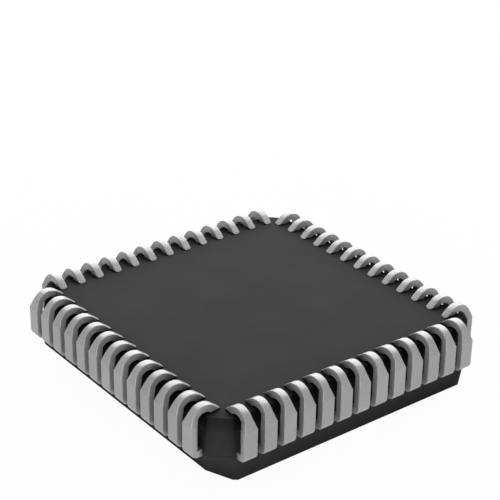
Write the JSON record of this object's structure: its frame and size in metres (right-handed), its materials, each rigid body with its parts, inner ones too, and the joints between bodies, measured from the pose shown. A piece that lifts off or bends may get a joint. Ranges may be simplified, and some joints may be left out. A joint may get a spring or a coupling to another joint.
{
  "type": "plcc chip",
  "caption": "Square plastic leaded chip carrier with J-shaped solder leads along all four sides, leads up, a bevel along the pin 1 side and a larger chamfer at the pin 1 corner.",
  "frame": {"origin": "centre of the flat marking face that the chip lies on, at the bottom of the bounding box", "axes": "+Z out of the underside, towards the circuit board and the lead curls; -Y out of the bevelled side with pin 1 in its middle; the large pin 1 corner chamfer is at -X -Y"},
  "size_m": [0.02, 0.02, 0.0044],
  "materials": {
    "moulding_compound": "matte, finely spark-eroded mould texture, charcoal black epoxy moulding compound",
    "lead_tin": "matte tin plate over copper alloy",
    "copper_strip": "bare stamped copper alloy",
    "silver_epoxy": "cured silver-filled epoxy",
    "silicon": "polished silicon, opaque",
    "gold_wire": "drawn gold"
  },
  "bodies": {
    "root": {"moulded_body": "moulding_compound", "lead_01": "lead_tin", "lead_02": "lead_tin", "lead_03": "lead_tin", "lead_04": "lead_tin", "lead_05": "lead_tin", "lead_06": "lead_tin", "lead_07": "lead_tin", "lead_08": "lead_tin", "lead_09": "lead_tin", "lead_10": "lead_tin", "lead_11": "lead_tin", "lead_12": "lead_tin", "lead_13": "lead_tin", "lead_14": "lead_tin", "lead_15": "lead_tin", "lead_16": "lead_tin", "lead_17": "lead_tin", "lead_18": "lead_tin", "lead_19": "lead_tin", "lead_20": "lead_tin", "lead_21": "lead_tin", "lead_22": "lead_tin", "lead_23": "lead_tin", "lead_24": "lead_tin", "lead_25": "lead_tin", "lead_26": "lead_tin", "lead_27": "lead_tin", "lead_28": "lead_tin", "lead_29": "lead_tin", "lead_30": "lead_tin", "lead_31": "lead_tin", "lead_32": "lead_tin", "lead_33": "lead_tin", "lead_34": "lead_tin", "lead_35": "lead_tin", "lead_36": "lead_tin", "lead_37": "lead_tin", "lead_38": "lead_tin", "lead_39": "lead_tin", "lead_40": "lead_tin", "lead_41": "lead_tin", "lead_42": "lead_tin", "lead_43": "lead_tin", "lead_44": "lead_tin", "lead_45": "lead_tin", "lead_46": "lead_tin", "lead_47": "lead_tin", "lead_48": "lead_tin", "lead_49": "lead_tin", "lead_50": "lead_tin", "lead_51": "lead_tin", "lead_52": "lead_tin", "die_pad": "copper_strip", "die_attach": "silver_epoxy", "die": "silicon", "bond_wires": "gold_wire"}
  },
  "joints": []
}
